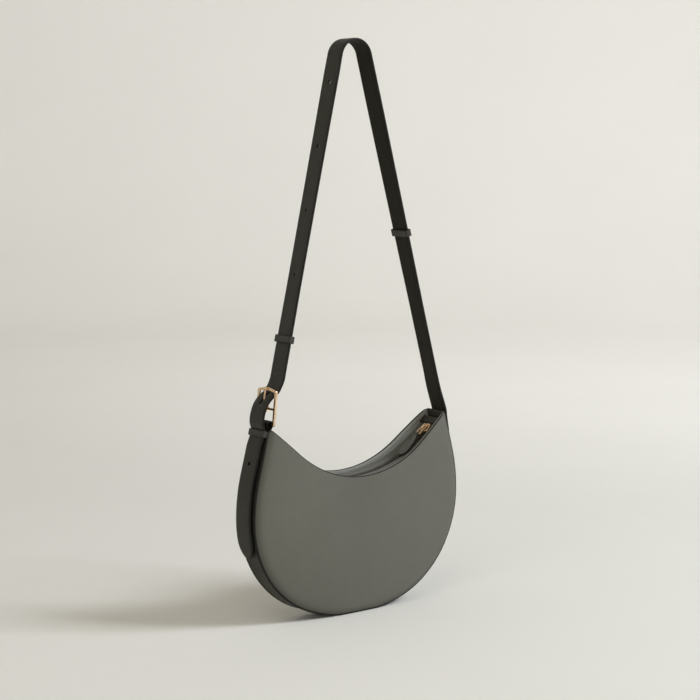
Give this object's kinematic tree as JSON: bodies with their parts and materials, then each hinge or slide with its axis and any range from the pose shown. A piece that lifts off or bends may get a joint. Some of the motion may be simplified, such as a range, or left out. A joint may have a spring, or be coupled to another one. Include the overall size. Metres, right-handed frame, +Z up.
{
  "type": "hobo bag",
  "caption": "Small structured crescent hobo bag with a curved zip, a narrow gusset and one long buckled shoulder strap.",
  "frame": {"origin": "centre of the flat stretch of the base, on the surface the bag stands on", "axes": "+Z up towards the strap's crown, +X towards the sewn end of the strap, -Y out of the front panel"},
  "size_m": [0.2644, 0.043, 0.5705],
  "materials": {
    "grey_leather": "smooth olive-grey calf leather, satin",
    "dark_leather": "smooth green-black leather with painted edges",
    "lining": "fine cotton twill",
    "board": "pressed fibre board",
    "zip_tape": "ribbed woven tape",
    "zip_metal": "dark antiqued plating, satin",
    "gold_metal": "polished pale rose-gold plating"
  },
  "bodies": {
    "bag": {"front_panel": "grey_leather", "back_panel": "grey_leather", "front_facing": "grey_leather", "back_facing": "grey_leather", "front_board": "board", "back_board": "board", "base_board": "board", "front_lining": "lining", "back_lining": "lining", "gusset_lining": "lining", "slip_pocket": "lining", "gusset": "dark_leather", "front_zip_tape": "zip_tape", "back_zip_tape": "zip_tape", "front_zip_teeth": "zip_metal", "back_zip_teeth": "zip_metal", "front_top_stop": "zip_metal", "back_top_stop": "zip_metal", "bottom_stop": "zip_metal", "left_zip_end_tab": "dark_leather", "right_zip_end_tab": "dark_leather", "strap_buckle_end": "dark_leather", "strap_sewn_end": "dark_leather", "fixed_keeper": "dark_leather", "chape": "dark_leather", "buckle_frame": "gold_metal"},
    "strap": {"strap_loop": "dark_leather"},
    "left_loop": {"left_sliding_loop": "dark_leather"},
    "right_loop": {"right_sliding_loop": "dark_leather"},
    "slider": {"zip_slider": "gold_metal"},
    "pull": {"pull_link": "gold_metal", "pull_tab": "dark_leather"},
    "prong": {"buckle_prong": "gold_metal"}
  },
  "joints": [
    {"name": "strap_lean", "type": "hinge", "parent": "bag", "child": "strap", "pos_m": [0, 0, 0.254], "axis": [1, 0, 0], "range_deg": [-25, 25]},
    {"name": "left_loop_slide", "type": "slide", "parent": "strap", "child": "left_loop", "axis": [0.2233, 0, 0.9748], "range_m": [-0.01, 0.25]},
    {"name": "right_loop_slide", "type": "slide", "parent": "strap", "child": "right_loop", "axis": [-0.2656, 0, 0.9641], "range_m": [-0.105, 0.15]},
    {"name": "zip_slide", "type": "hinge", "parent": "bag", "child": "slider", "pos_m": [0, 0, 0.2865], "axis": [0, 1, 0], "range_deg": [0, 63]},
    {"name": "pull_flip", "type": "hinge", "parent": "slider", "child": "pull", "pos_m": [0.09687, 0, 0.1774], "axis": [0, 1, 0], "range_deg": [0, 125]},
    {"name": "prong_lift", "type": "hinge", "parent": "bag", "child": "prong", "pos_m": [-0.10501, 0, 0.21532], "axis": [0, -1, 0], "range_deg": [0, 12]}
  ]
}
